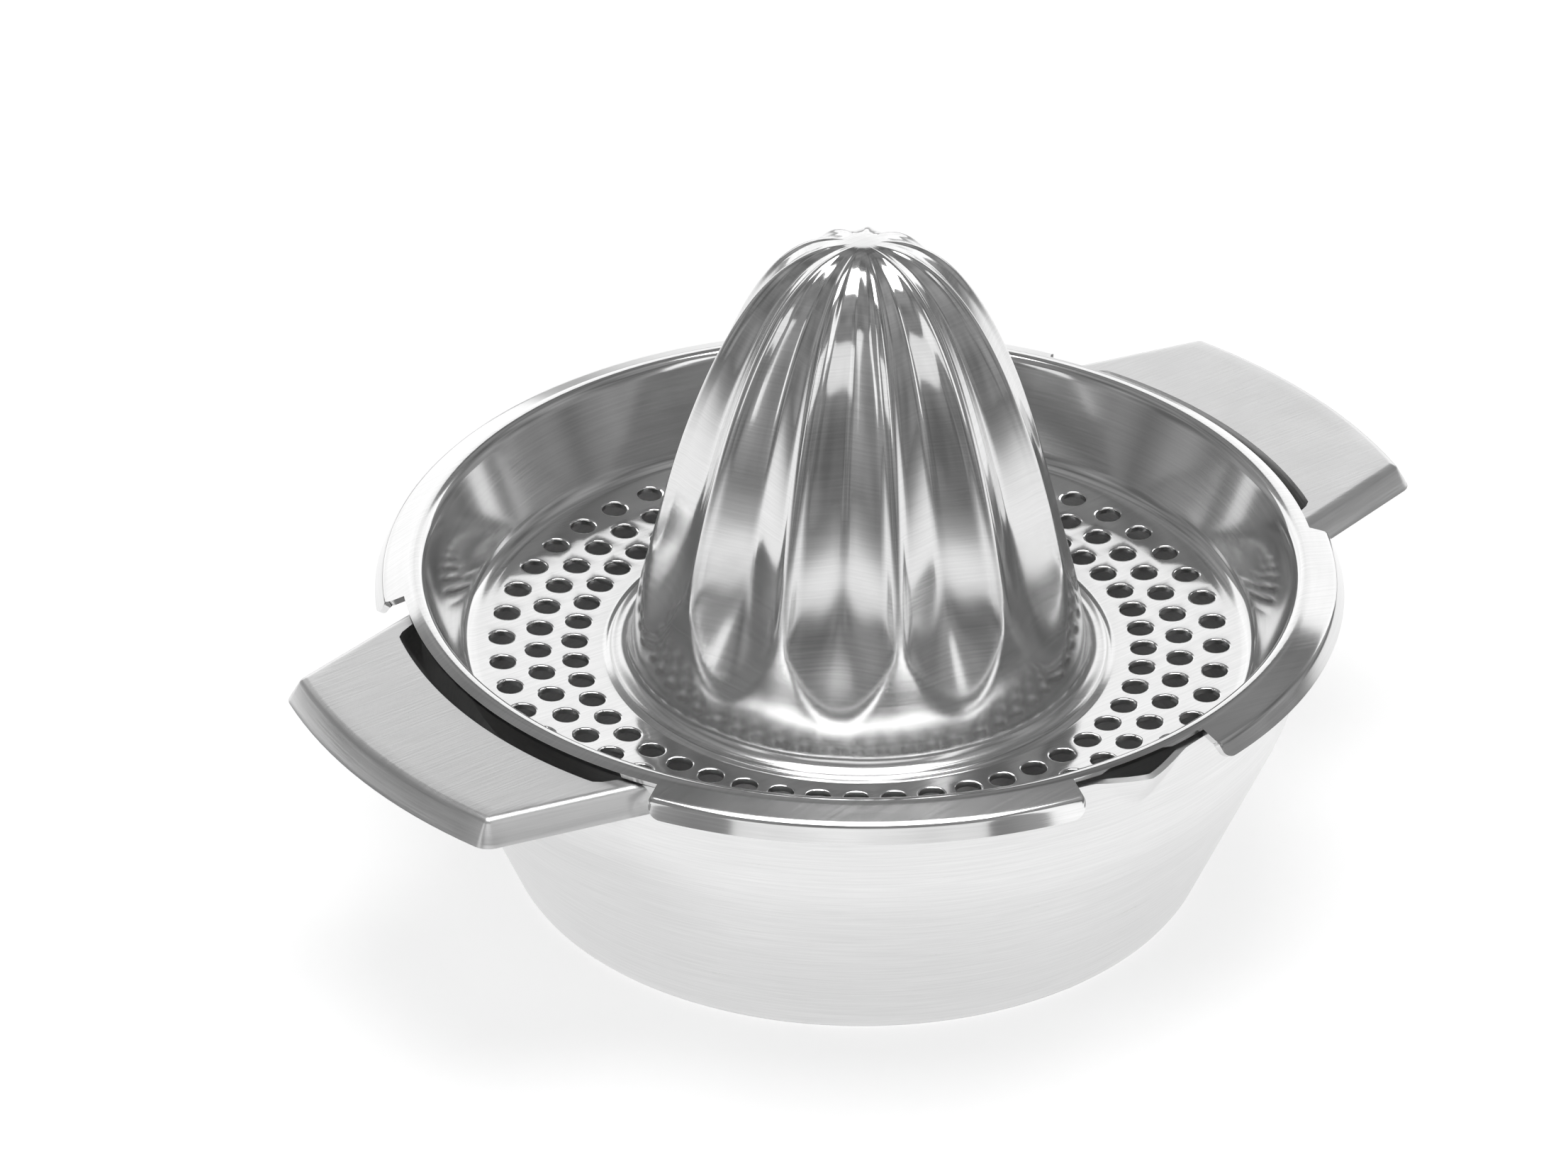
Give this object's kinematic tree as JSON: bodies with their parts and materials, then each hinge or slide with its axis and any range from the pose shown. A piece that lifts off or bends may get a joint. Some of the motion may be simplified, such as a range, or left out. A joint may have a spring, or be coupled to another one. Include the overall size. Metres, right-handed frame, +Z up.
{
  "type": "hand citrus juicer",
  "caption": "Pressed steel juice bowl with two flat wing handles and a pouring lip, holding a lift-out perforated strainer with a fluted central reamer.",
  "frame": {"origin": "middle of the flat base, on the surface that the juicer stands on", "axes": "+Z up through the reamer's point, +X through one wing handle, -Y through the pouring lip"},
  "size_m": [0.174, 0.1392, 0.0999],
  "materials": {
    "juice_bowl": "satin stainless steel, finely brushed round the wall",
    "strainer_insert": "mirror-polished stainless steel"
  },
  "bodies": {
    "bowl": {"juice_bowl": "juice_bowl"},
    "strainer": {"strainer_insert": "strainer_insert"}
  },
  "joints": [
    {"name": "strainer_lift", "type": "slide", "parent": "bowl", "child": "strainer", "axis": [0, 0, 1], "range_m": [0, 0.05]}
  ]
}
